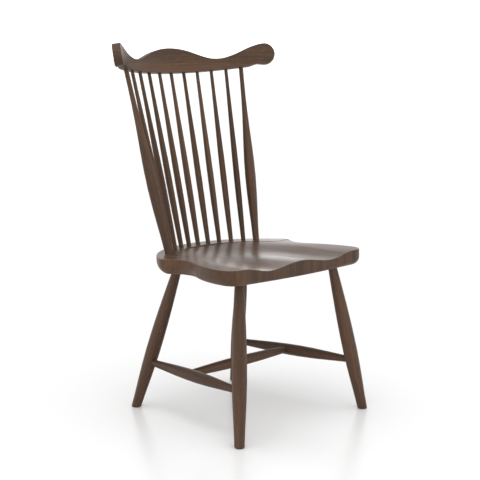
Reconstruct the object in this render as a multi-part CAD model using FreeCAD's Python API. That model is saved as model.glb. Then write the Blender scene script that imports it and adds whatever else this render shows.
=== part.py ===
import FreeCAD, Part
import math
import os

from collections import namedtuple
from FreeCAD import Rotation, Vector

# Fan-back Windsor side chair, in millimetres, as separate glued-up wooden pieces.
# Z is up and the chair faces -Y, so a sitter's right hand is on the -X side.
# While the pieces are made, Y is measured from the compass point that the
# spindle arc is struck from. At the end the whole chair slides along Y until
# the middle of its footprint stands on the origin.

# Seat board
seat_height = 457.2          # floor to the flat that the spindles stand on
seat_thickness = 44.0
seat_pitch = 0.8             # degrees, lower at the back
rim_radius = 280.0           # back edge of the seat in plan
rim_centre_y = 20.0
rim_turn = 66.3              # degrees from the middle, where the back edge meets the waist
back_corner_radius = 32.0
waist_x = 223.5              # half width at the narrowest place
waist_y = 70.0
front_half_width = 267.0
front_edge_y = -148.3
front_corner_radius = 47.0
under_back_radius = 30.0     # rounding of the lower edge, which runs out towards the front
under_side_radius = 24.0
under_toe_radius = 19.0
under_front_radius = 4.0

# Saddle, carved into the board in front of the groove
saddle_depth = 18.0          # deepest place
saddle_back_step = 2.0       # depth right in front of the groove
saddle_rim_step = 0.4        # depth along the sides
thigh_depth = 14.4           # the two hollows at the front edge
thigh_x = 120.0
thigh_reach = 97.0           # from the middle of a hollow to where it ends
pommel_drop = 1.8            # top of the ridge between the hollows
pommel_length = 0.85         # share of the saddle's length that the ridge fades over

# Groove between the saddle and the flat
groove_radius = 228.0
groove_centre_y = 12.7
groove_turn = 55.5           # degrees from the middle, where the arc turns outward
groove_turn_radius = 25.0
groove_width = 3.4
groove_depth = 3.2

# Sticks of the back: nine spindles between two posts, evenly stepped
spindle_count = 9
seat_arc_radius = 262.0
seat_arc_step = 8.32         # degrees between neighbours at the seat
crest_arc_radius = 407.3
crest_arc_step = 6.63        # degrees between neighbours at the crest rail

spindle_top_diameter = 9.8
spindle_swell_diameter = 18.5
spindle_foot_diameter = 12.8
spindle_seat_tenon = 17.0
spindle_crest_tenon = 18.0

post_top_diameter = 12.6
post_neck_diameter = 17.2
post_swell_diameter = 31.8
post_foot_diameter = 18.5
post_seat_tenon = 24.0
post_crest_tenon = 24.0

# Crest rail, bent to an arc and leaning back
crest_base_y = 372.6         # middle of the rail's lower edge
crest_base_z = 949.5
crest_lean = 12.6            # degrees
crest_thickness = 23.5
crest_hump_height = 72.0
crest_shoulder_arc = 68.5    # along the rail, from the middle
crest_shoulder_height = 61.7
crest_dip_arc = 157.0
crest_dip_height = 33.8
crest_neck_inset = 6.7       # from the post's axis inward to the neck
crest_neck_height = 44.2
crest_overhang = 20.3        # from the post's axis to the end of the straight lower edge
notch_past_post = 48.3
notch_height = 4.5
ear_past_post = 77.0         # from the post's axis to the middle of the ear
ear_height = 30.7
ear_radius = 31.3

# Legs
front_foot_x = 249.1
front_foot_y = -158.3
front_leg_seat_x = 184.1
front_leg_seat_y = -92.5
rear_foot_x = 199.0
rear_foot_y = 315.0
rear_leg_seat_x = 130.7
rear_leg_seat_y = 205.2
leg_neck_diameter = 24.0
leg_swell_diameter = 40.4
leg_foot_diameter = 27.0
leg_seat_tenon = 25.0
foot_chamfer = 3.0

# Stretchers
front_joint_z = 143.0        # side stretcher's axis on the front leg
rear_joint_z = 136.0
side_end_diameter = 17.5
side_swell_diameter = 33.0
cross_share = 0.55           # the cross stretcher's place, from front to back
cross_end_diameter = 18.5
cross_swell_diameter = 29.8
tenon_past_axis = 4.0        # how far a stretcher's tenon passes the middle

# Lengthwise form of each turned stick: the diameter follows a sine from either end up
# to the swell, and a power over 1 keeps that end slender for longer.
Turning = namedtuple("Turning", "low, swell, high, swell_share, low_power, high_power, tapers")
spindle_form = Turning(spindle_foot_diameter, spindle_swell_diameter, spindle_top_diameter,
                       0.35, 1.2, 2.0, 8)
post_form = Turning(post_foot_diameter, post_swell_diameter, post_top_diameter,
                    0.37, 1.65, 3.2, 11)
leg_form = Turning(leg_foot_diameter, leg_swell_diameter, leg_neck_diameter,
                   0.44, 1.4, 1.0, 10)
side_form = Turning(side_end_diameter, side_swell_diameter, side_end_diameter,
                    0.47, 1.35, 1.35, 9)
cross_form = Turning(cross_end_diameter, cross_swell_diameter, cross_end_diameter,
                     0.5, 1.0, 1.0, 8)

# Fits
socket_clearance = 0.1       # between a tenon and the wall of its socket
glue_gap = 1.0               # between the end of a tenon and its socket
cutter_reach = 30.0          # how far a cutter stands out of the piece it cuts

UP = Vector(0, 0, 1)
MIDDLE = Vector(0, 0, 0)
ACROSS = Vector(1, 0, 0)
TINY = 1e-3                  # for picking edges by their place
pitch = math.radians(seat_pitch)
lean = math.radians(crest_lean)


def seat_point(x, y, down=0.0):
    """Place on the pitched board, given its plan position and its depth."""
    along = y - seat_arc_radius
    return Vector(x,
                  seat_arc_radius + along * math.cos(pitch) - down * math.sin(pitch),
                  seat_height - along * math.sin(pitch) - down * math.cos(pitch))


def pitched(shape):
    """A flat board whose top is at Z = 0, brought to the seat's place."""
    shape.rotate(Vector(0, seat_arc_radius, 0), Vector(1, 0, 0), -seat_pitch)
    shape.translate(Vector(0, 0, seat_height))
    return shape


def crest_point(angle, radius, rise):
    """Place on the bent rail: angle in radians from the middle, and height along its lean."""
    back = radius * math.cos(angle) - crest_arc_radius
    return Vector(radius * math.sin(angle),
                  crest_base_y + back * math.cos(lean) + rise * math.sin(lean),
                  crest_base_z - back * math.sin(lean) + rise * math.cos(lean))


def along_axis(shape, start, end):
    """Turns a shape that stands on the origin so that it runs from start to end."""
    shape.Placement = FreeCAD.Placement(start, Rotation(UP, end - start))
    return shape


def spline(points, start=None, end=None):
    curve = Part.BSplineCurve()
    if start is None:
        curve.interpolate(points)
    else:
        curve.interpolate(points, InitialTangent=start, FinalTangent=end)
    return curve.toShape()


def radius_at(form, share):
    """Radius of a turned stick at this share of its length, from the low end up."""
    if share < form.swell_share:
        end, power, climb = form.low, form.low_power, share / form.swell_share
    else:
        end, power, climb = form.high, form.high_power, (1 - share) / (1 - form.swell_share)
    return (end + (form.swell - end) * math.sin(math.pi / 2 * climb) ** power) / 2


def turned(length, form, tenon_low, tenon_high):
    """A stick turned about Z as a run of straight tapers, with a plain tenon at each end."""
    shares = [step / form.tapers for step in range(form.tapers + 1)]
    border = [Vector(radius_at(form, share), 0, share * length) for share in shares]
    foot_z = -tenon_low
    head_z = length + tenon_high
    border = ([Vector(0, 0, foot_z), Vector(form.low / 2, 0, foot_z)] + border
              + [Vector(form.high / 2, 0, head_z), Vector(0, 0, head_z), Vector(0, 0, foot_z)])
    return Part.Face(Part.makePolygon(border)).revolve(MIDDLE, UP, 360)


def socket(mouth, towards, diameter, depth):
    """The cutter of a blind round hole, from outside its mouth to the hole's end."""
    direction = (towards - mouth).normalize()
    start = mouth - direction * cutter_reach
    radius = diameter / 2 + socket_clearance
    return Part.makeCylinder(radius, cutter_reach + depth + glue_gap, start, direction)


# Axes of the sticks

def stick_axis(step):
    """Seat end and crest end of the stick that stands this many steps from the middle."""
    seat_angle = math.radians(step * seat_arc_step)
    crest_angle = math.radians(step * crest_arc_step)
    low = seat_point(seat_arc_radius * math.sin(seat_angle),
                     seat_arc_radius * math.cos(seat_angle))
    return low, crest_point(crest_angle, crest_arc_radius, 0)


def leg_axis(side, foot_x, foot_y, seat_x, seat_y):
    """Seat end and foot end of a leg; side is -1 on the sitter's right and 1 on the left."""
    return seat_point(side * seat_x, seat_y, seat_thickness), Vector(side * foot_x, foot_y, 0)


def on_leg(axis, z):
    top, foot = axis
    return foot + (top - foot) * (z / top.z)


post_step = (spindle_count + 1) / 2
sides = {"right": -1, "left": 1}
spindle_axes = [stick_axis(n + 1 - post_step) for n in range(spindle_count)]
post_axes = {name: stick_axis(side * post_step) for name, side in sides.items()}
front_axes = {}
rear_axes = {}
side_axes = {}
for name, side in sides.items():
    front_axes[name] = leg_axis(side, front_foot_x, front_foot_y,
                                front_leg_seat_x, front_leg_seat_y)
    rear_axes[name] = leg_axis(side, rear_foot_x, rear_foot_y,
                               rear_leg_seat_x, rear_leg_seat_y)
    side_axes[name] = (on_leg(front_axes[name], front_joint_z),
                       on_leg(rear_axes[name], rear_joint_z))
cross_axis = [front + (rear - front) * cross_share for front, rear in side_axes.values()]


# Seat

turn = math.radians(groove_turn)
groove_back_y = groove_centre_y + groove_radius
turn_reach = groove_radius + groove_turn_radius
turn_centre = Vector(turn_reach * math.sin(turn), groove_centre_y + turn_reach * math.cos(turn), 0)
groove_side_y = turn_centre.y - groove_turn_radius
carve_x = front_half_width + cutter_reach
carve_front_y = front_edge_y - cutter_reach


def both_sides(edges):
    """The edges and their mirror images across the middle of the chair."""
    return edges + [edge.mirror(MIDDLE, ACROSS) for edge in edges]


def mirrored(point):
    return Vector(-point.x, point.y, point.z)


def mirrored_y(point):
    return Vector(point.x, -point.y, point.z)


def arc_about(centre, radius, start, end):
    """The shorter arc from start to end about a centre in their plane."""
    middle = centre + ((start + end) / 2 - centre).normalize() * radius
    return Part.Arc(start, middle, end).toShape()


def seat_outline():
    """Plan of the board, as a face at Z = 0."""
    rim_end = math.radians(rim_turn)
    corner = Vector(rim_radius * math.sin(rim_end), rim_centre_y + rim_radius * math.cos(rim_end), 0)
    waist = Vector(waist_x, waist_y, 0)
    shoulder = Vector(front_half_width, front_edge_y + front_corner_radius, 0)
    toe = Vector(shoulder.x - front_corner_radius, front_edge_y, 0)

    # The waist is a hollow arc from the back corner, upright at the narrowest place.
    # A full arc takes over from it and ends upright at the shoulder.
    out, up = corner.x - waist.x, corner.y - waist.y
    waist_radius = (out ** 2 + up ** 2) / (2 * out)
    out, down = shoulder.x - waist.x, waist.y - shoulder.y
    flare_radius = (out ** 2 + down ** 2) / (2 * out) - waist_radius
    waist_centre = Vector(waist.x + waist_radius, waist.y, 0)
    flare_centre = Vector(shoulder.x - flare_radius, shoulder.y, 0)
    swap = waist_centre + (flare_centre - waist_centre).normalize() * waist_radius

    half = [arc_about(waist_centre, waist_radius, corner, swap),
            arc_about(flare_centre, flare_radius, swap, shoulder),
            arc_about(Vector(toe.x, shoulder.y, 0), front_corner_radius, shoulder, toe),
            Part.makeLine(toe, Vector(0, front_edge_y, 0))]
    rim = arc_about(Vector(0, rim_centre_y, 0), rim_radius, corner, mirrored(corner))
    return Part.Face(Part.Wire(Part.__sortEdges__([rim] + both_sides(half))))


def smooth(share):
    """Eases from 0 to 1 with no slope at either end."""
    share = min(1, max(0, share))
    return share * share * (3 - 2 * share)


def saddle_height(x, y):
    """Height of the carved surface over the flat, which is below zero inside the saddle."""
    arch = max(0, 1 - (x / turn_centre.x) ** 2) ** 1.2
    back_y = groove_side_y + (groove_back_y - groove_side_y) * arch
    run = (y - front_edge_y) / (back_y - front_edge_y)
    if run < 0.5:
        depth = thigh_depth + (saddle_depth - thigh_depth) * math.sin(math.pi * run)
    else:
        rise = math.cos(math.pi * (run - 0.5))
        depth = saddle_back_step + (saddle_depth - saddle_back_step) * rise
    off = abs(x)
    if off < thigh_x:
        share = math.sin(math.pi / 2 * off / thigh_x) ** 2
        thigh = (pommel_drop + (thigh_depth - pommel_drop) * share) / thigh_depth
    else:
        thigh = math.cos(math.pi / 2 * min(1, (off - thigh_x) / thigh_reach)) ** 2
    swing = smooth((waist_y - y) / (waist_y - front_edge_y - front_corner_radius))
    half_width = waist_x + (front_half_width - waist_x) * swing
    bowl = max(0, 1 - (x / half_width) ** 2) ** 2
    return -saddle_rim_step - depth * (thigh + (bowl - thigh) * smooth(run / pommel_length))


def groove_path():
    """The groove's middle line on the flat, from one side of the board to the other."""
    turn_start = Vector(groove_radius * math.sin(turn),
                        groove_centre_y + groove_radius * math.cos(turn), 0)
    turn_end = Vector(turn_centre.x, groove_side_y, 0)
    side_end = Vector(carve_x, groove_side_y, 0)
    main = arc_about(Vector(0, groove_centre_y, 0), groove_radius, mirrored(turn_start), turn_start)
    ends = [arc_about(turn_centre, groove_turn_radius, turn_start, turn_end),
            Part.makeLine(turn_end, side_end)]
    return Part.Wire(Part.__sortEdges__([main] + both_sides(ends)))


def saddle_cutter():
    """All that is carved away in front of the groove."""
    columns = 21
    rows = 16
    back_y = rim_centre_y + rim_radius
    grid = []
    for column in range(columns):
        x = carve_x * (2 * column / (columns - 1) - 1)
        line = []
        for row in range(rows):
            y = carve_front_y + (back_y - carve_front_y) * row / (rows - 1)
            line.append(Vector(x, y, saddle_height(x, y)))
        grid.append(line)
    surface = Part.BSplineSurface()
    surface.interpolate(grid)
    above = surface.toShape().extrude(UP * (2 * seat_thickness))
    corner = Vector(carve_x, carve_front_y, 0)
    border = [Part.makeLine(Vector(carve_x, groove_side_y, 0), corner),
              Part.makeLine(corner, mirrored(corner)),
              Part.makeLine(mirrored(corner), Vector(-carve_x, groove_side_y, 0))]
    area = Part.Face(Part.Wire(Part.__sortEdges__(groove_path().Edges + border)))
    area.translate(Vector(0, 0, -seat_thickness))
    return above.common(area.extrude(UP * (2 * seat_thickness)))


def groove_cutter():
    """A V-shaped cutter led along the groove's line."""
    start = Vector(-carve_x, groove_side_y, 0)
    point = start - UP * groove_depth
    flank = Vector(0, groove_width / 2, groove_depth) * 2
    vee = Part.makePolygon([point, point + flank, point + mirrored_y(flank), point])
    return groove_path().makePipeShell([vee], True, False)


def filleted(shape, edges, radius_at):
    """Rounds the chosen edges, with the radius that radius_at gives at each end of an edge."""
    document = FreeCAD.newDocument()
    base = document.addObject("Part::Feature")
    base.Shape = shape
    fillet = document.addObject("Part::Fillet")
    fillet.Base = base
    chosen = []
    for number, edge in enumerate(base.Shape.Edges, 1):
        if any(edge.isSame(other) for other in edges):
            first = edge.valueAt(edge.FirstParameter)
            last = edge.valueAt(edge.LastParameter)
            chosen.append((number, radius_at(first), radius_at(last)))
    fillet.Edges = chosen
    document.recompute()
    result = fillet.Shape.copy()
    FreeCAD.closeDocument(document.Name)
    return result


def under_radius(point):
    """Rounding of the board's lower edge at this place."""
    toe_x = front_half_width - front_corner_radius
    if point.y > waist_y:
        return under_back_radius
    if point.y > front_edge_y + TINY:
        return under_side_radius
    return under_front_radius + (under_toe_radius - under_front_radius) * abs(point.x) / toe_x


def make_seat():
    board = seat_outline().extrude(UP * -seat_thickness)
    corners = [edge for edge in board.Edges
               if abs(edge.BoundBox.ZLength - seat_thickness) < TINY
               and edge.CenterOfMass.y > waist_y]
    board = board.makeFillet(back_corner_radius, corners)
    lower = [edge for edge in board.Edges if edge.BoundBox.ZMax < TINY - seat_thickness]
    board = filleted(board, lower, under_radius)
    board = board.cut(saddle_cutter())
    board = board.cut(groove_cutter())
    board = pitched(board)
    for low, high in post_axes.values():
        board = board.cut(socket(low, low * 2 - high, post_foot_diameter, post_seat_tenon))
    for low, high in spindle_axes:
        board = board.cut(socket(low, low * 2 - high, spindle_foot_diameter, spindle_seat_tenon))
    for top, foot in list(front_axes.values()) + list(rear_axes.values()):
        board = board.cut(socket(top, top * 2 - foot, leg_neck_diameter, leg_seat_tenon))
    return board


# Crest rail

def rail_template():
    """Edges of the sawn outline before bending: X runs along the rail and Y up."""
    post_arc = crest_arc_radius * math.radians(post_step * crest_arc_step)
    straight_end = Vector(post_arc + crest_overhang, 0, 0)
    ear_arc = post_arc + ear_past_post
    ear_low = Vector(ear_arc, ear_height - ear_radius, 0)
    ear_out = Vector(ear_arc + ear_radius, ear_height, 0)
    ear_top = Vector(ear_arc, ear_height + ear_radius, 0)
    notch = spline([straight_end, Vector(post_arc + notch_past_post, notch_height, 0), ear_low], ACROSS, ACROSS)
    ear = Part.Arc(ear_low, ear_out, ear_top).toShape()
    half = [ear_top,
            Vector(post_arc - crest_neck_inset, crest_neck_height, 0),
            Vector(crest_dip_arc, crest_dip_height, 0),
            Vector(crest_shoulder_arc, crest_shoulder_height, 0)]
    hump = Vector(0, crest_hump_height, 0)
    top = spline(half + [hump] + [mirrored(p) for p in reversed(half)], -ACROSS, -ACROSS)
    bottom = Part.makeLine(mirrored(straight_end), straight_end)
    return Part.__sortEdges__([bottom, top] + both_sides([notch, ear]))


def bent_wire(edges, back):
    """The outline where its radial lines cross the flat plane this far behind the bend's axis."""
    bent = []
    for edge in edges:
        points = edge.discretize(2 if edge.Curve.TypeId == "Part::GeomLine" else 24)
        places = []
        for point in points:
            angle = point.x / crest_arc_radius
            places.append(crest_point(angle, back / math.cos(angle), point.y))
        bent.append(Part.makeLine(*places) if len(places) == 2 else spline(places))
    return Part.Wire(bent)


def make_crest_rail():
    inner = crest_arc_radius - crest_thickness / 2
    outer = crest_arc_radius + crest_thickness / 2
    axis = Vector(0, math.sin(lean), math.cos(lean))
    base = crest_point(0, 0, -ear_radius)
    tall = crest_hump_height + 2 * ear_radius
    ring = Part.makeCylinder(outer, tall).cut(Part.makeCylinder(inner, tall))
    ring = along_axis(ring, base, base + axis)
    template = rail_template()
    outline = Part.makeLoft([bent_wire(template, inner / 2), bent_wire(template, outer * 1.2)],
                            True, True)
    rail = ring.common(outline)
    for low, high in spindle_axes:
        rail = rail.cut(socket(high, high * 2 - low, spindle_top_diameter, spindle_crest_tenon))
    for low, high in post_axes.values():
        rail = rail.cut(socket(high, high * 2 - low, post_top_diameter, post_crest_tenon))
    return rail


# Turned sticks, each from its low end up

def make_back_stick(axis, form, seat_tenon, crest_tenon):
    low, high = axis
    return along_axis(turned((high - low).Length, form, seat_tenon, crest_tenon), low, high)


def make_leg(axis, side_axis, joint):
    """A leg with its foot sawn flat at the floor and one socket for the side stretcher."""
    top, foot = axis
    leg = turned((top - foot).Length, leg_form, cutter_reach, leg_seat_tenon)
    leg = along_axis(leg, foot, top)
    size = 4 * leg_swell_diameter
    floor = Part.makeBox(size, size, size, Vector(foot.x - size / 2, foot.y - size / 2, -size))
    leg = leg.cut(floor)
    rim = [edge for edge in leg.Edges if edge.BoundBox.ZMax < TINY]
    leg = leg.makeChamfer(foot_chamfer, rim)
    here, there = side_axis[joint], side_axis[1 - joint]
    return leg.cut(stretcher_socket(here, there, side_end_diameter))


def stretcher_socket(here, there, diameter):
    """The cutter for a tenon that comes from there and ends a little past the axis at here."""
    inward = (here - there).normalize()
    end = here + inward * (tenon_past_axis + glue_gap)
    return Part.makeCylinder(diameter / 2 + socket_clearance, leg_swell_diameter + tenon_past_axis,
                             end, -inward)


def make_stretcher(start, end, form):
    stick = turned((end - start).Length, form, tenon_past_axis, tenon_past_axis)
    return along_axis(stick, start, end)


pieces = {"seat": make_seat(), "crest_rail": make_crest_rail()}
for number, axis in enumerate(spindle_axes, 1):
    pieces[f"spindle_{number}"] = make_back_stick(axis, spindle_form,
                                                  spindle_seat_tenon, spindle_crest_tenon)
for name, axis in post_axes.items():
    pieces[f"back_post_{name}"] = make_back_stick(axis, post_form,
                                                  post_seat_tenon, post_crest_tenon)
for name in sides:
    pieces[f"front_leg_{name}"] = make_leg(front_axes[name], side_axes[name], 0)
    pieces[f"rear_leg_{name}"] = make_leg(rear_axes[name], side_axes[name], 1)
cross_ends = dict(zip(sides, cross_axis))
for name, other in (("right", "left"), ("left", "right")):
    stretcher = make_stretcher(*side_axes[name], side_form)
    cutter = stretcher_socket(cross_ends[name], cross_ends[other], cross_end_diameter)
    pieces[f"side_stretcher_{name}"] = stretcher.cut(cutter)
pieces["cross_stretcher"] = make_stretcher(*cross_axis, cross_form)

box = Part.Compound(list(pieces.values())).optimalBoundingBox(False)
middle = Vector(0, -(box.YMin + box.YMax) / 2, 0)
os.makedirs("parts", exist_ok=True)
for name, shape in pieces.items():
    solid, = shape.Solids
    solid.translate(middle)
    solid.exportStep(f"parts/{name}.step")
    print(name, solid.isValid(), round(solid.Volume / 1000, 1), "cm3")
print("size", box.XLength, box.YLength, box.ZLength, "slid along Y by", middle.y)
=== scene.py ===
# %% [markdown]
# A fan-back Windsor side chair on a pale studio floor. The chair's shape comes from the
# CAD frame, which is loaded first and stays where it is. What this file adds is what the
# eye sees: edges that a cabinet maker has eased with sandpaper, wood that runs the right
# way in every piece, a seat polished by use, light, floor and camera. Lengths are metres.

# %% Load the frame
import bpy
import bmesh
import math
import numpy as np
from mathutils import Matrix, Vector


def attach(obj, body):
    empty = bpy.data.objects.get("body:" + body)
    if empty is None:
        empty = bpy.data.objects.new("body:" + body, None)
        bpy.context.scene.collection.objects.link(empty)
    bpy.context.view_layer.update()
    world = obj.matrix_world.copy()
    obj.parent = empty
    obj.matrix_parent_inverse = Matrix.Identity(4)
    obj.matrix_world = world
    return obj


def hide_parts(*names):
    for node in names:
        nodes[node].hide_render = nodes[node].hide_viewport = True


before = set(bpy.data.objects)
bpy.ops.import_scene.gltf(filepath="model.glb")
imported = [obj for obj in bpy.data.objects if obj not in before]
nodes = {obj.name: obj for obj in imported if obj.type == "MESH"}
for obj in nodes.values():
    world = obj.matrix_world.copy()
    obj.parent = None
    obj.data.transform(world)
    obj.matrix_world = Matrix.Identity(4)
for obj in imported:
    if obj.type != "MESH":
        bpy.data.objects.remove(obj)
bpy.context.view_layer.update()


# %% [markdown]
# Sockets of a shader are set by name, so one small helper adds a node and fills its
# inputs, and another adds a grey ramp with its two stops. They keep the cells about the
# wood short.

# %% Helpers for node trees
def add_node(tree, kind, **inputs):
    """A new node; an input's name is written with _ where Blender has a space."""
    node = tree.nodes.new(kind)
    for name, value in inputs.items():
        node.inputs[name.replace("_", " ")].default_value = value
    return node


def add_ramp(tree, low, high):
    """A grey ramp between two stops; each is a place from 0 to 1 and a grey level."""
    ramp = tree.nodes.new("ShaderNodeValToRGB")
    for element, (place, grey) in zip(ramp.color_ramp.elements, (low, high)):
        element.position = place
        element.color = (grey, grey, grey, 1)
    return ramp


# %% [markdown]
# Stained wood shows several things at once. Long soft bands come from the annual rings,
# fine streaks and pores run along the grain, and short reddish flecks are where the stain
# did not take. A picture of a board could be wrapped around every stick, but its seam would
# show and all twenty pieces would look alike. Noise in the solid has no seam: it runs
# through a piece as grain does. One group makes it for every piece. It takes a place in
# metres, whose third direction runs along the grain, and puts out a colour, a roughness
# and a height.

# %% Sockets of the wood group
wood = bpy.data.node_groups.new("stained_wood", "ShaderNodeTree")
for name, kind in (("Place", "NodeSocketVector"), ("Dark", "NodeSocketColor"),
                   ("Light", "NodeSocketColor"), ("Fleck", "NodeSocketColor"),
                   ("Fleck Amount", "NodeSocketFloat"), ("Streak Amount", "NodeSocketFloat")):
    wood.interface.new_socket(name, in_out="INPUT", socket_type=kind)
for name, kind in (("Color", "NodeSocketColor"), ("Roughness", "NodeSocketFloat"),
                   ("Height", "NodeSocketFloat")):
    wood.interface.new_socket(name, in_out="OUTPUT", socket_type=kind)
given = wood.nodes.new("NodeGroupInput")
result = wood.nodes.new("NodeGroupOutput")
print("wood group sockets:", len(wood.interface.items_tree))


# %% [markdown]
# Each layer of the wood is one noise, stretched along the grain. Its size is given as the
# number of cells to the metre across the grain and along it, so that streaks of 190 by 5
# are a few millimetres wide and about twenty centimetres long. A ramp then picks the part
# of the noise that counts and says how dark or light it turns out. The gloss comes from
# the same noise as the streaks, because open wood is duller than dense wood.

# %% Layers of the wood
def stretched_noise(across, along, detail, roughness=0.55, distortion=0.0):
    """Noise with this many cells to the metre across the grain and along it."""
    stretch = wood.nodes.new("ShaderNodeVectorMath")
    stretch.operation = "MULTIPLY"
    stretch.inputs[1].default_value = (across, across, along)
    wood.links.new(given.outputs["Place"], stretch.inputs[0])
    noise = add_node(wood, "ShaderNodeTexNoise", Scale=1.0, Detail=detail,
                     Roughness=roughness, Distortion=distortion)
    wood.links.new(stretch.outputs[0], noise.inputs["Vector"])
    return noise


def layer(noise, low, high):
    """The socket of a ramp that turns a stretch of the noise's values into greys."""
    ramp = add_ramp(wood, low, high)
    wood.links.new(noise.outputs["Fac"], ramp.inputs[0])
    return ramp.outputs[0]


ring_noise = stretched_noise(across=34, along=1.2, detail=4.0, distortion=0.4)
streak_noise = stretched_noise(across=190, along=5, detail=4.0, roughness=0.6)
fleck_noise = stretched_noise(across=260, along=60, detail=2.0)
pore_noise = stretched_noise(across=900, along=30, detail=2.0)

rings = layer(ring_noise, low=(0.34, 0.0), high=(0.68, 1.0))
streaks = layer(streak_noise, low=(0.3, 0.72), high=(0.7, 1.22))
gloss = layer(streak_noise, low=(0.3, 0.40), high=(0.7, 0.50))
flecks = layer(fleck_noise, low=(0.6, 0.0), high=(0.72, 1.0))
pores = layer(pore_noise, low=(0.3, 0.6), high=(0.42, 1.0))


# %% [markdown]
# The layers go over each other as the real things do: rings first, streaks that darken and
# lighten them, flecks where bare wood shows, and the dark pores over all. A Mix node keeps
# its sockets for colours behind those for numbers and vectors, so they are reached by
# their place in the list.

# %% Mix the layers
factor_socket = 0
first_color_socket = 6
second_color_socket = 7
color_output = 2
pore_depth = 0.7


def mix_colors(blend, factor, first, second):
    """Mixes two colour sockets; the factor is a socket or a number."""
    mix = wood.nodes.new("ShaderNodeMix")
    mix.data_type = "RGBA"
    mix.blend_type = blend
    if isinstance(factor, bpy.types.NodeSocket):
        wood.links.new(factor, mix.inputs[factor_socket])
    else:
        mix.inputs[factor_socket].default_value = factor
    wood.links.new(first, mix.inputs[first_color_socket])
    wood.links.new(second, mix.inputs[second_color_socket])
    return mix.outputs[color_output]


fleck_share = wood.nodes.new("ShaderNodeMath")
fleck_share.operation = "MULTIPLY"
wood.links.new(flecks, fleck_share.inputs[0])
wood.links.new(given.outputs["Fleck Amount"], fleck_share.inputs[1])

color = mix_colors("MIX", rings, given.outputs["Dark"], given.outputs["Light"])
color = mix_colors("MULTIPLY", given.outputs["Streak Amount"], color, streaks)
color = mix_colors("MIX", fleck_share.outputs[0], color, given.outputs["Fleck"])
color = mix_colors("MULTIPLY", pore_depth, color, pores)

wood.links.new(color, result.inputs["Color"])
wood.links.new(gloss, result.inputs["Roughness"])
wood.links.new(pores, result.inputs["Height"])
print("wood group nodes:", len(wood.nodes))


# %% [markdown]
# Every stick was split from its own piece of timber, so its grain runs along its own axis.
# The sticks lean in all directions, and their angles could be copied from the drawing. It
# is simpler to measure them: the axis is the direction in which the points of a node are
# spread the most, which a singular value decomposition gives first.

# %% Grain directions
def grain_axis(name):
    """The unit direction that a node is longest in."""
    mesh = nodes[name].data
    places = np.empty(len(mesh.vertices) * 3)
    mesh.vertices.foreach_get("co", places)
    places = places.reshape(-1, 3)
    return Vector(np.linalg.svd(places - places.mean(axis=0), full_matrices=False)[2][0])


# %% [markdown]
# A Mapping node turns the pattern until its third direction follows the grain, and moves it
# by a different distance for each piece, so that no two look alike. The seat has been
# polished by years of sitting. That is a thin coat over the stain, on the top alone, and
# the direction in which the surface faces tells the top from the edge. A second material
# on the top faces would do it too, but it would end at a hard line.

# %% A wood for each piece
pattern_step = (0.37, 0.53, 0.71)
surface_shine = 0.25
bare_fleck_amount = 0.5
pore_bump_strength = 0.12
pore_bump_distance = 0.0006
polish_starts = 0.7
polish_full = 0.9
polish_roughness = 0.30


def wood_material(name, axis, number, stain, stretch=(1, 1, 1), streak_amount=0.8, polish=0.0):
    """A stained wood whose grain runs along axis; number makes its pattern its own."""
    material = bpy.data.materials.new(name)
    material.use_nodes = True
    tree = material.node_tree
    shader = tree.nodes["Principled BSDF"]
    shader.inputs["Specular IOR Level"].default_value = surface_shine
    place = tree.nodes.new("ShaderNodeTexCoord")
    mapping = tree.nodes.new("ShaderNodeMapping")
    mapping.vector_type = "POINT"
    mapping.inputs["Scale"].default_value = stretch
    upright = axis.rotation_difference(Vector((0, 0, 1))).to_euler()
    mapping.inputs["Rotation"].default_value = upright
    mapping.inputs["Location"].default_value = [number * step for step in pattern_step]
    group = tree.nodes.new("ShaderNodeGroup")
    group.node_tree = wood
    for tone, tint in stain.items():
        group.inputs[tone].default_value = tint
    group.inputs["Fleck Amount"].default_value = bare_fleck_amount
    group.inputs["Streak Amount"].default_value = streak_amount
    bump = add_node(tree, "ShaderNodeBump", Strength=pore_bump_strength,
                    Distance=pore_bump_distance)
    tree.links.new(place.outputs["Object"], mapping.inputs["Vector"])
    tree.links.new(mapping.outputs[0], group.inputs["Place"])
    tree.links.new(group.outputs["Color"], shader.inputs["Base Color"])
    tree.links.new(group.outputs["Roughness"], shader.inputs["Roughness"])
    tree.links.new(group.outputs["Height"], bump.inputs["Height"])
    tree.links.new(bump.outputs["Normal"], shader.inputs["Normal"])
    if polish:
        facing = tree.nodes.new("ShaderNodeSeparateXYZ")
        worn = add_ramp(tree, (polish_starts, 0.0), (polish_full, polish))
        tree.links.new(place.outputs["Normal"], facing.inputs[0])
        tree.links.new(facing.outputs["Z"], worn.inputs[0])
        tree.links.new(worn.outputs[0], shader.inputs["Coat Weight"])
        shader.inputs["Coat Roughness"].default_value = polish_roughness
    return material


# %% [markdown]
# Nobody leaves the edges of a seat or a rail as sharp as the saw does. A few strokes of
# sandpaper round them, and that thin rounding is what catches the light. A bevel could go
# on the CAD pieces as a live modifier, but their meshes are loose triangles. So each of the
# two boards is copied, the copy's points are merged, and it is bevelled and stands for the
# CAD piece from then on.

# %% Copy a board
same_point = 1e-5


def select_only(piece):
    """Makes a piece the active object and the only selected one."""
    bpy.ops.object.select_all(action="DESELECT")
    piece.select_set(True)
    bpy.context.view_layer.objects.active = piece


def merged_copy(name, piece_name):
    """A copy of a CAD node with its points merged and its normals left to Blender."""
    select_only(nodes[name])
    bpy.ops.object.duplicate()
    piece = bpy.context.object
    piece.name = piece_name
    bpy.ops.object.mode_set(mode="EDIT")
    bpy.ops.mesh.select_all(action="SELECT")
    bpy.ops.mesh.remove_doubles(threshold=same_point)
    bpy.ops.mesh.customdata_custom_splitnormals_clear()
    bpy.ops.object.mode_set(mode="OBJECT")
    print(piece_name, "points:", len(piece.data.vertices))
    return piece


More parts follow.
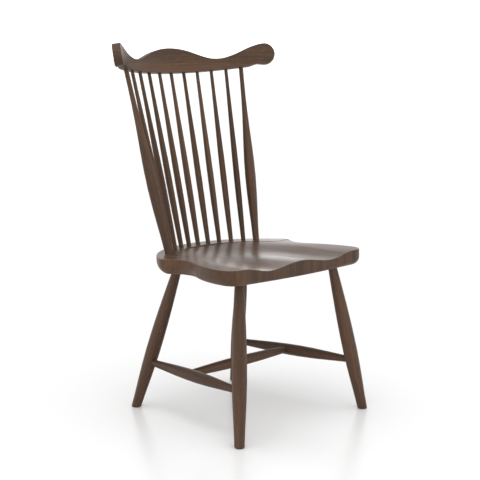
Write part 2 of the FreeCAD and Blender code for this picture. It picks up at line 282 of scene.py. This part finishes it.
# %% [markdown]
# Only the outline is eased. The rims of the sockets, whose edges are all about a millimetre
# long, stay crisp, and so does the groove, so length and angle choose the edges. They are
# marked with a bevel weight, because a weight lasts through later cuts and a selection does
# not. A rounding folds over itself where a point of the face lies nearer to the outline
# than the rounding reaches, so such a point is welded to the outline first.

# %% Mark the outline
sharp_angle = math.radians(40)
flat_angle = math.radians(10)


def mark_outline(piece, shortest, keep=lambda faces: True):
    """Gives the sharp, long edges of a board a bevel weight."""
    mesh = bmesh.new()
    mesh.from_mesh(piece.data)
    mesh.normal_update()
    weight = mesh.edges.layers.float.new("bevel_weight_edge")
    marked = [edge for edge in mesh.edges if edge.calc_length() > shortest
              and edge.calc_face_angle(0) > sharp_angle and keep(edge.link_faces)]
    for edge in marked:
        edge[weight] = 1.0
    print(piece.name, "outline edges:", len(marked),
          "length in mm:", round(1000 * sum(edge.calc_length() for edge in marked)))
    mesh.to_mesh(piece.data)
    mesh.free()


def weld_near_points(piece, reach):
    """Welds the points of a face that lie within reach of the outline to it."""
    mesh = bmesh.new()
    mesh.from_mesh(piece.data)
    mesh.normal_update()
    weight = mesh.edges.layers.float["bevel_weight_edge"]
    outline = {corner for edge in mesh.edges if edge[weight] for corner in edge.verts}
    near_edges = [edge for edge in mesh.edges
                  if edge.calc_length() < reach and edge.calc_face_angle(0) < flat_angle
                  and sum(corner in outline for corner in edge.verts) == 1]
    near_edges.sort(key=lambda edge: edge.calc_length(), reverse=True)
    targets = {}
    for edge in near_edges:
        corner, inner = sorted(edge.verts, key=lambda end: end not in outline)
        targets[inner] = corner
    bmesh.ops.weld_verts(mesh, targetmap=targets)
    print(piece.name, "points welded to the outline:", len(targets))
    mesh.to_mesh(piece.data)
    mesh.free()


# %% [markdown]
# The Bevel modifier does the sanding, with three facets that shade as one round edge. The
# normals of the flat faces are hardened, or the shading of the rounding would bleed far
# into them.

# %% Round the outline
facets = 3


def ease(piece, width, smooth_angle):
    """Rounds the marked edges and smooths the shading up to an angle."""
    select_only(piece)
    bpy.ops.object.shade_smooth_by_angle(angle=smooth_angle)
    bevel = piece.modifiers.new("eased_edge", "BEVEL")
    bevel.limit_method = "WEIGHT"
    bevel.offset_type = "OFFSET"
    bevel.width = width
    bevel.segments = facets
    bevel.use_clamp_overlap = False
    bevel.harden_normals = True
    bpy.ops.object.modifier_apply(modifier=bevel.name)
    print(piece.name, "faces:", len(piece.data.polygons))


# %% [markdown]
# On the seat the outline runs where a nearly upright face meets the saddled top. The
# groove's walls are steeper than the saddle and less steep than the board's edge, so their
# slope finds them. They are marked in an attribute, because the bevel numbers the faces
# anew, and later get a nearly black material of their own, which paints the groove's shade.

# %% Ease the seat
seat_easing = 0.0022
seat_shortest = 0.002
weld_reach = 1.5 * seat_easing
steepest_edge = 0.35
shallowest_top = 0.6
groove_slopes = (0.3, 0.75)
groove_height = 0.445


def meets_top(faces):
    """Whether an upright face and a nearly level one meet."""
    lifts = sorted(face.normal.z for face in faces)
    return abs(lifts[0]) < steepest_edge and lifts[1] > shallowest_top


seat = merged_copy("seat", "seat_eased")
mark_outline(seat, seat_shortest, meets_top)
weld_near_points(seat, weld_reach)
groove_faces = [face.index for face in seat.data.polygons
                if groove_slopes[0] < face.normal.z < groove_slopes[1]
                and face.center.z > groove_height and face.center.y > 0]
groove_mark = seat.data.attributes.new("groove_wall", "BOOLEAN", "FACE")
for index in groove_faces:
    groove_mark.data[index].value = True
ease(seat, seat_easing, smooth_angle=math.radians(50))
print("groove faces:", len(groove_faces))


# %% [markdown]
# The rail was sawn from a board and bent to an arc that leans back with the sticks. Its
# front and its back are the two broad faces, and the next cell has to find them. Normals
# could tell, but those of thin slivers can't be trusted. Distances can: all corners of a
# broad face are equally far from the axis of the bend, and nearer or farther than the
# middle of the board by most of half its thickness. The sawn edge and the walls of the
# sockets fail that test.

# %% Find the rail's broad faces
bend_radius = 0.4073
bend_lean = math.radians(12.6)
bend_foot = Vector((0, 0.2585, 0.9495))
broad_depth = 0.009
broad_spread = 0.002


def bend_reach(place):
    """How far a place lies from the axis that the rail was bent around."""
    offset = place - bend_foot
    depth = offset.y * math.cos(bend_lean) - offset.z * math.sin(bend_lean)
    return math.hypot(place.x, bend_radius + depth)


def is_broad(face):
    """Whether all corners of a face lie on the front of the rail, or all on its back."""
    depths = [bend_reach(corner.co) - bend_radius for corner in face.verts]
    same_depth = max(depths) - min(depths) < broad_spread
    return same_depth and abs(sum(depths)) > broad_depth * len(depths)


# %% [markdown]
# In the frame's mesh the broad faces are long slivers that run from edge to edge, and a
# bevel has nothing to slide along. Remeshing them would blur the outline. Upright cuts a
# few millimetres apart turn each face into a ladder instead: bisect makes the rungs, and
# every other edge inside a broad face is dissolved. The outline's own points stay, and the
# bevel then slides along the rungs. The last cuts stop short of the ears' round ends.

# %% Turn a bent face into a ladder
rung_gap = 0.006
end_margin = 1.5 * rung_gap
on_plane = 1e-3


def select_broad_faces(piece):
    """Selects the front and the back of a rail that is in edit mode."""
    bpy.ops.mesh.select_all(action="DESELECT")
    mesh = bmesh.from_edit_mesh(piece.data)
    for face in mesh.faces:
        if is_broad(face):
            face.select_set(True)
    bmesh.update_edit_mesh(piece.data)


def is_rung(edge):
    """Whether an edge lies in one of the upright planes of the cuts."""
    steps = [corner.co.x / rung_gap for corner in edge.verts]
    return abs(steps[0] - steps[1]) < on_plane and abs(steps[0] - round(steps[0])) < on_plane


def ladder(piece):
    """Cuts the broad faces into upright strips, each of them one face."""
    select_only(piece)
    reach = max(abs(corner[0]) for corner in piece.bound_box)
    rungs = int((reach - end_margin) / rung_gap)
    bpy.ops.object.mode_set(mode="EDIT")
    for step in range(-rungs, rungs + 1):
        select_broad_faces(piece)
        bpy.ops.mesh.bisect(plane_co=(step * rung_gap, 0, 0), plane_no=(1, 0, 0))
    bpy.ops.mesh.select_all(action="DESELECT")
    mesh = bmesh.from_edit_mesh(piece.data)
    for edge in mesh.edges:
        edge.select = all(is_broad(face) for face in edge.link_faces) and not is_rung(edge)
    bmesh.update_edit_mesh(piece.data)
    bpy.ops.mesh.dissolve_edges(use_verts=False)
    bpy.ops.object.mode_set(mode="OBJECT")
    print(piece.name, "cuts:", 2 * rungs + 1, "faces:", len(piece.data.polygons))


# %% [markdown]
# The rail is eased a little less than the seat, because a wider rounding would fold at the
# small round ears. Both boards then ride on the chair's one body and stand for their CAD
# pieces.

# %% Ease the rail
rail_easing = 0.0018
rail_shortest = 0.0013

rail = merged_copy("crest_rail", "crest_rail_eased")
mark_outline(rail, rail_shortest)
ladder(rail)
ease(rail, rail_easing, smooth_angle=math.radians(35))

for piece, name, slot in ((seat, "seat", "seat_board"), (rail, "crest_rail", "crest_board")):
    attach(piece, "root")
    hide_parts(name)


# %% [markdown]
# The stain took evenly on the sticks. The seat's grain runs from back to front, and its
# figure goes straight down through the board, so that the front edge shows upright lines.
# Its streaks are half as strong as those of the sticks. The rail's grain runs from ear to
# ear, and its figure goes through the board from front to back. Each board could have a
# pattern of its own, but the Mapping node scales before it turns, and a small scale in one
# direction draws the figure out in that direction, which is all that the boards need.

# %% Stain the pieces
walnut_stain = {"Dark": (0.054, 0.028, 0.0155, 1), "Light": (0.108, 0.057, 0.0315, 1),
                "Fleck": (0.17, 0.080, 0.040, 1)}
across_chair = Vector((1, 0, 0))
back_to_front = Vector((0, 1, 0))
eased_boards = {"seat": seat, "crest_rail": rail}
board_looks = {
    "seat": {"axis": back_to_front, "stretch": (1, 1, 0.05), "streak_amount": 0.4,
             "polish": 0.25},
    "crest_rail": {"axis": across_chair, "stretch": (1, 0.15, 1)}}

for number, (name, node) in enumerate(sorted(nodes.items())):
    look = board_looks.get(name) or {"axis": grain_axis(name)}
    finish = wood_material(name + "_wood", number=number, stain=walnut_stain, **look)
    for stained in (node, eased_boards.get(name, node)):
        stained.data.materials.clear()
        stained.data.materials.append(finish)
    print(name, "grain along", [round(part, 2) for part in look["axis"]])


# %% [markdown]
# The groove's walls are coloured nearly black. That is painted shade, standing in for the
# shadow inside the narrow groove. Its walls were marked before the bevel, so now they only
# take a second material.

# %% Paint shade into the groove
# painted shade: a nearly black material on the groove's walls stands for the shadow inside the
# groove
nearly_black = (0.010, 0.006, 0.004, 1)
painted_groove_shade = dict.fromkeys(walnut_stain, nearly_black)
groove_number = 0

seat.data.materials.append(
    wood_material("groove_painted_shade", back_to_front, groove_number, painted_groove_shade))
in_groove = seat.data.attributes["groove_wall"].data
for face in seat.data.polygons:
    face.material_index = 1 if in_groove[face.index].value else 0
print("dark faces:", sum(face.material_index for face in seat.data.polygons))


# %% [markdown]
# The chair stands on a floor that is so pale that it melts into the background, and so
# wide that its rim is out of sight. A weak shine gives the faint mirror images under the
# feet.

# %% Floor
floor_width = 200
floor_white = (0.93, 0.93, 0.93, 1)
floor_roughness = 0.25
floor_shine = 0.3

bpy.ops.object.select_all(action="DESELECT")
bpy.ops.mesh.primitive_plane_add(size=floor_width, location=(0, 0, 0))
floor = bpy.context.object
floor.name = "studio_floor"
floor_finish = bpy.data.materials.new("pale_floor")
floor_finish.use_nodes = True
floor_shader = floor_finish.node_tree.nodes["Principled BSDF"]
floor_shader.inputs["Base Color"].default_value = floor_white
floor_shader.inputs["Roughness"].default_value = floor_roughness
floor_shader.inputs["Specular IOR Level"].default_value = floor_shine
floor.data.materials.append(floor_finish)
print("floor width:", floor_width)


# %% [markdown]
# A product photographer surrounds the object with a white sweep. Here the world does that:
# white to a little over the horizon, where polished surfaces mirror it, and greyer
# overhead, which leaves the work there to a lamp. A plain white world would be simpler, but
# it lights the chair from all sides alike and flattens it. The camera itself sees white
# wherever the floor ends, so the ramp gives way to white for rays that come from it.

# %% The sweep around the chair
low_sky = (0.06, 1.0)
high_sky = (0.40, 0.42)
sweep_strength = 1.8

world = bpy.data.worlds.new("studio")
bpy.context.scene.world = world
world.use_nodes = True
sweep = world.node_tree
direction = sweep.nodes.new("ShaderNodeTexCoord")
parts = sweep.nodes.new("ShaderNodeSeparateXYZ")
height_ramp = add_ramp(sweep, low_sky, high_sky)
seen = sweep.nodes.new("ShaderNodeLightPath")
lighter = sweep.nodes.new("ShaderNodeMath")
lighter.operation = "MAXIMUM"
background = sweep.nodes["Background"]
sweep.links.new(direction.outputs["Generated"], parts.inputs[0])
sweep.links.new(parts.outputs["Z"], height_ramp.inputs[0])
sweep.links.new(height_ramp.outputs[0], lighter.inputs[0])
sweep.links.new(seen.outputs["Is Camera Ray"], lighter.inputs[1])
sweep.links.new(lighter.outputs[0], background.inputs["Color"])
background.inputs["Strength"].default_value = sweep_strength
print("sweep nodes:", len(sweep.nodes))


# %% [markdown]
# A large softbox over the chair lights it from above and gives the soft shadow between its
# feet. A narrow strip stands far behind it, opposite the camera, and the polished seat
# mirrors it as a pale streak. On the floor the strip would be a glare, so light linking
# names the seat as the only thing that receives its light.

# %% Lamps
def softbox(name, place, target, width, height, power):
    """A rectangular lamp, in watts, turned towards a target."""
    light = bpy.data.lights.new(name, "AREA")
    light.shape = "RECTANGLE"
    light.size = width
    light.size_y = height
    light.energy = power
    holder = bpy.data.objects.new(name, light)
    holder.location = place
    holder.rotation_euler = (Vector(target) - Vector(place)).to_track_quat("-Z", "Y").to_euler()
    bpy.context.scene.collection.objects.link(holder)
    print(name, "power in watts:", power)
    return holder


softbox("overhead", place=(-0.6, -0.6, 3.2), target=(0, 0, 0), width=3.2, height=3.2, power=46)
strip = softbox("strip_behind", place=(4.16, 3.80, 1.4), target=(0, 0, 0.45), width=0.4,
                height=1.6, power=6)
strip.visible_camera = False
polished = bpy.data.collections.new("polished_top")
polished.objects.link(seat)
strip.light_linking.receiver_collection = polished


# %% [markdown]
# The camera stands where the photographer's did, found from the feet, the level edges of
# the seat and the chair's own symmetry. It is a long lens a little under four metres off.
# The focal length came out in pixels of the picture, and the sensor's width turns it into
# the millimetres that Blender asks for.

# %% Camera
eye = Vector((-2.3686, -2.4040, 1.0185))
turn_right = math.radians(44.89)
look_down = math.radians(8.96)
roll = math.radians(0.08)
sensor_width_mm = 36
picture_width_px = 480
focal_length_px = 1209.79

lens = bpy.data.cameras.new("view")
lens.sensor_width = sensor_width_mm
lens.lens = sensor_width_mm * focal_length_px / picture_width_px
camera = bpy.data.objects.new("view", lens)
camera.location = eye
camera.rotation_euler = (math.pi / 2 - look_down, roll, -turn_right)
bpy.context.scene.collection.objects.link(camera)
bpy.context.scene.camera = camera
bpy.context.scene.view_settings.view_transform = "Standard"
print("focal length in mm:", round(lens.lens, 2), "distance:", round(eye.length, 2))
